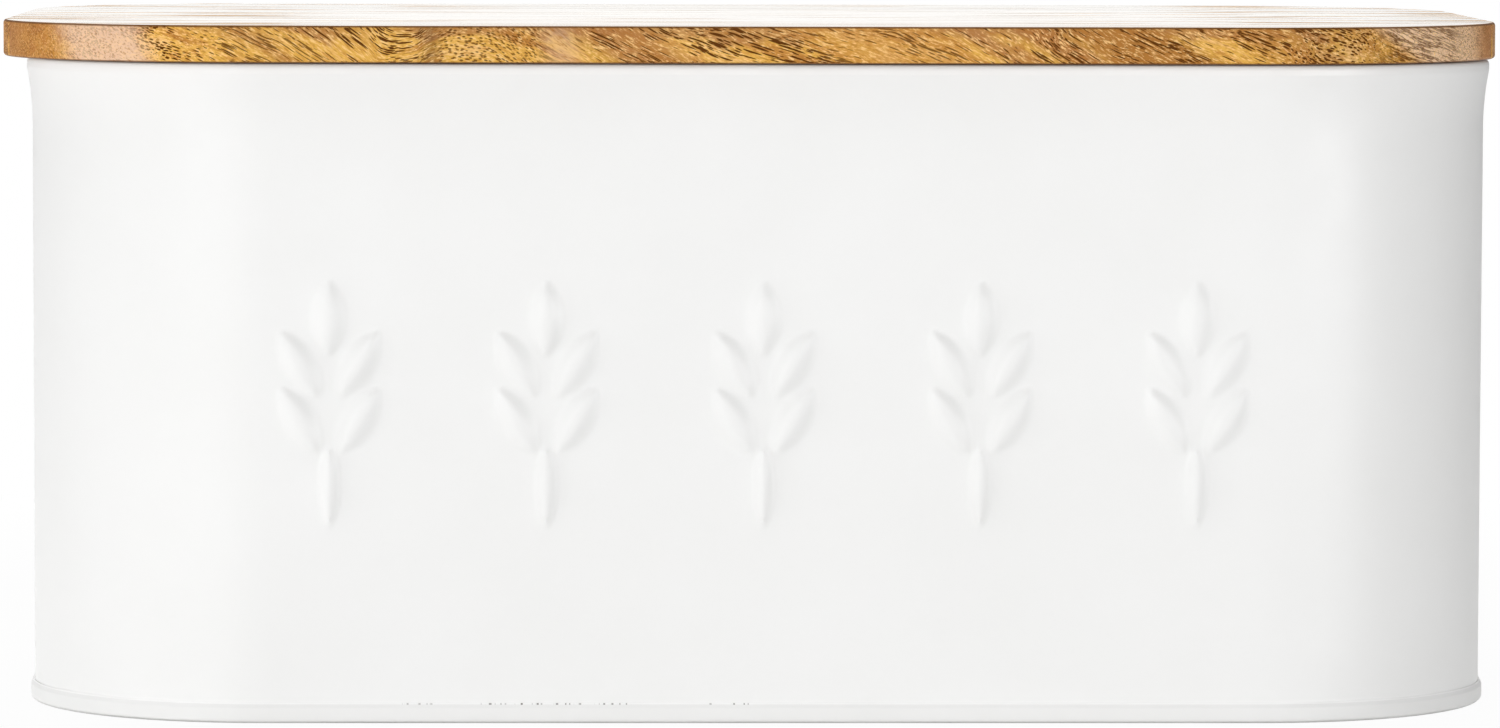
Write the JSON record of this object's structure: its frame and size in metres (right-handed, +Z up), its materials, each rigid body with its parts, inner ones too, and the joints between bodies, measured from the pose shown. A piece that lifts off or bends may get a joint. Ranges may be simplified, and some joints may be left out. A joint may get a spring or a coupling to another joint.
{
  "type": "bread bin",
  "caption": "Rounded-rectangle bread bin of white enamelled sheet steel with pressed ears of wheat and a loose wooden lid that lifts off.",
  "frame": {"origin": "on the ground under the middle of the bin, in the plane of the base's folded rim", "axes": "+Z up, the front with the pressed ears faces -Y, +X along the bin's width"},
  "size_m": [0.339, 0.209, 0.1545],
  "materials": {
    "white_enamel": "smooth semi-gloss white enamel on sheet steel",
    "lid_wood": "oiled golden brown hardwood with dark pores"
  },
  "bodies": {
    "bin": {"bin_wall": "white_enamel", "bin_base": "white_enamel"},
    "lid": {"lid_stave_1": "lid_wood", "lid_stave_2": "lid_wood", "lid_stave_3": "lid_wood", "lid_stave_4": "lid_wood", "lid_stave_5": "lid_wood"}
  },
  "joints": [
    {"name": "lid_lift", "type": "slide", "parent": "bin", "child": "lid", "axis": [0, 0, 1], "range_m": [0, 0.18]}
  ]
}
